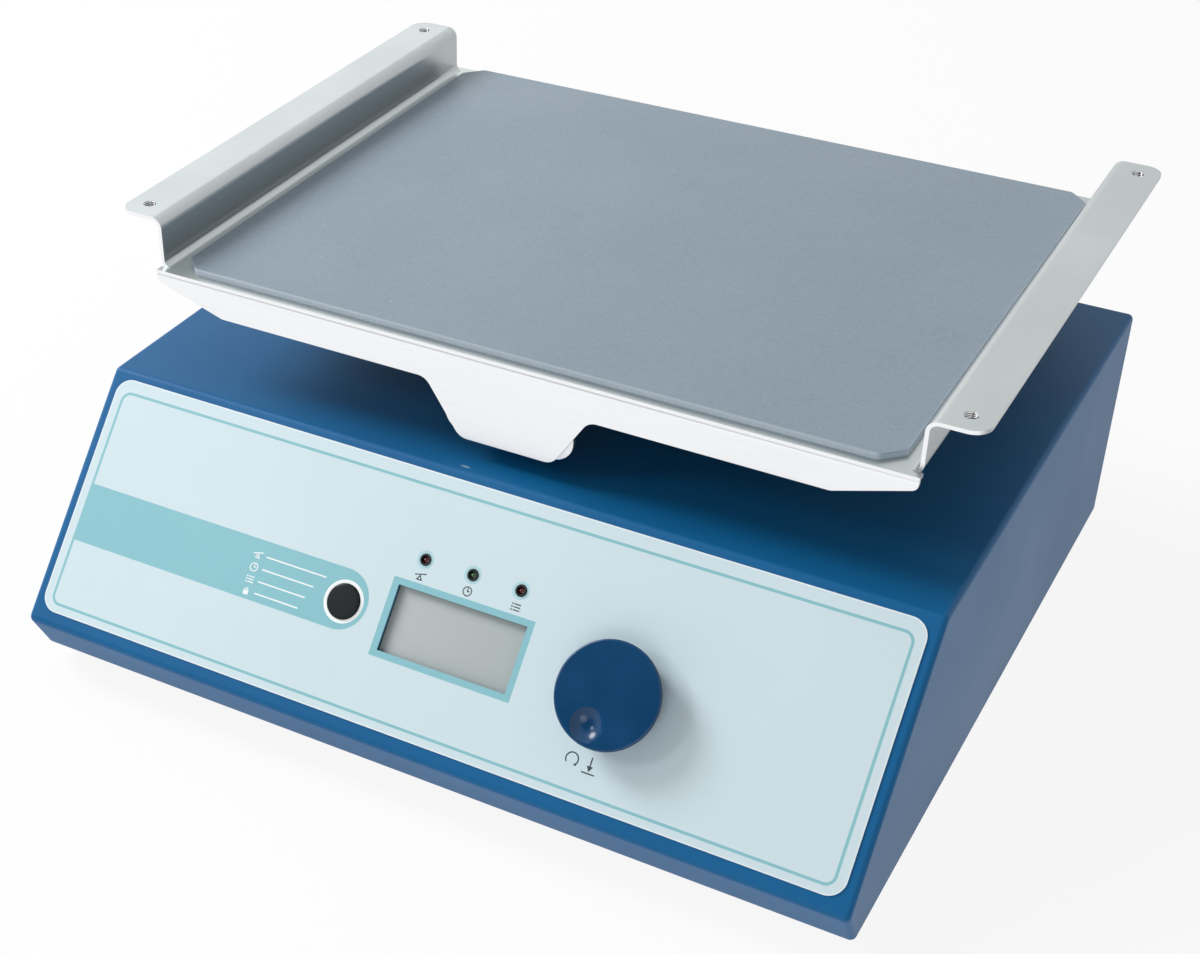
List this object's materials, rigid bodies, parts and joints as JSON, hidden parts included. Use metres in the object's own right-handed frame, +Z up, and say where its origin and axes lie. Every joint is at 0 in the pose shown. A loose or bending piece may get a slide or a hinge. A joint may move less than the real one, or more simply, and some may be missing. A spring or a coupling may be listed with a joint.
{
  "type": "rocker shaker",
  "caption": "Bench rocker shaker: sloping-front steel case with display and knob, under a flanged tray with a mat that rocks from side to side on two pivots.",
  "frame": {"origin": "on the bench, under the centre of the overall box", "axes": "+X to the right seen from the front and across the width, +Y towards the back, +Z up; the tray is level at rest"},
  "size_m": [0.35, 0.3203, 0.171],
  "materials": {
    "blue_paint": "satin powder coat",
    "stainless": "fine brushed",
    "zinc_steel": "zinc plated",
    "aluminium": "machined",
    "bronze": "sintered",
    "grey_mat": "fine matt",
    "black_rubber": "matt",
    "overlay_print": "fine satin print",
    "dark_plastic": "matt",
    "knob_plastic": "semi-gloss",
    "display": "grey liquid crystal panel",
    "red_lamp": "clear red",
    "green_lamp": "clear green",
    "board_green": "solder mask",
    "copper_coil": "enamelled wire and tape",
    "core_steel": "varnished laminations",
    "lead_grey": "smooth jacket",
    "capacitor_sleeve": "shrink sleeve"
  },
  "bodies": {
    "base": {"housing_shell": "blue_paint", "base_plate": "zinc_steel", "base_screws": "zinc_steel", "rubber_feet": "black_rubber", "foot_screws": "zinc_steel", "control_overlay": "overlay_print", "display_frame": "dark_plastic", "display_glass": "display", "display_carrier": "dark_plastic", "control_board": "board_green", "board_standoffs": "zinc_steel", "board_screws": "zinc_steel", "board_parts": "dark_plastic", "red_lamps": "red_lamp", "green_lamp": "green_lamp", "lamp_holders": "dark_plastic", "panel_switches": "dark_plastic", "encoder_body": "zinc_steel", "encoder_nut": "zinc_steel", "front_post": "blue_paint", "back_post": "blue_paint", "post_screws": "zinc_steel", "pivot_bushes": "bronze", "slot_collar": "black_rubber", "motor_bracket": "zinc_steel", "motor_screws": "zinc_steel", "gearbox": "aluminium", "motor_can": "zinc_steel", "motor_cap": "dark_plastic", "speed_sensor": "dark_plastic", "supply_board": "board_green", "transformer_core": "core_steel", "transformer_coil": "copper_coil", "supply_capacitors": "capacitor_sleeve", "heat_sink": "aluminium", "mains_inlet": "dark_plastic", "inlet_blades": "zinc_steel", "inlet_screws": "zinc_steel", "switch_frame": "dark_plastic", "mains_leads": "lead_grey", "motor_lead": "lead_grey", "ribbon_cable": "lead_grey"},
    "rocking_tray": {"tray": "stainless", "mat": "grey_mat", "cradle": "stainless", "cradle_screws": "zinc_steel", "pivot_pins": "stainless", "pin_clips": "zinc_steel", "drive_lever": "zinc_steel", "lever_screws": "zinc_steel"},
    "crank": {"crank_disc": "aluminium", "crank_pin": "stainless", "speed_disc": "dark_plastic", "output_shaft": "stainless"},
    "roller": {"crank_roller": "zinc_steel"},
    "knob_plunger": {"encoder_plunger": "dark_plastic"},
    "knob": {"control_knob": "knob_plastic", "encoder_shaft": "aluminium"},
    "mode_key": {"mode_button": "dark_plastic"},
    "power_key": {"mains_rocker": "dark_plastic"}
  },
  "joints": [
    {"name": "tray_rock", "type": "hinge", "parent": "base", "child": "rocking_tray", "pos_m": [0, 0.04, 0.126], "axis": [0, 1, 0], "range_deg": [-10, 10]},
    {"name": "crank_turn", "type": "hinge", "parent": "base", "child": "crank", "pos_m": [0, 0.055, 0.06], "axis": [0, 1, 0], "range_deg": [-90, 90]},
    {"name": "roller_spin", "type": "hinge", "parent": "crank", "child": "roller", "pos_m": [0, 0.04, 0.04836], "axis": [0, 1, 0], "continuous": true},
    {"name": "knob_push", "type": "slide", "parent": "base", "child": "knob_plunger", "axis": [0, -0.7477, 0.6641], "range_m": [-0.0006, 0], "stiffness_N_per_m": 3000, "springref_m": 0.0004},
    {"name": "knob_turn", "type": "hinge", "parent": "knob_plunger", "child": "knob", "pos_m": [0.073, -0.13621, 0.06506], "axis": [0, -0.7477, 0.6641], "continuous": true},
    {"name": "mode_press", "type": "slide", "parent": "base", "child": "mode_key", "axis": [0, -0.7477, 0.6641], "range_m": [-0.0006, 0], "stiffness_N_per_m": 2500, "springref_m": 0.0004},
    {"name": "power_rocker", "type": "hinge", "parent": "base", "child": "power_key", "pos_m": [-0.07, 0.15136, 0.04], "axis": [1, 0, 0], "range_deg": [0, 20]}
  ],
  "couplings": [
    {"joint": "crank_turn", "follows": "tray_rock", "ratio": 9}
  ]
}
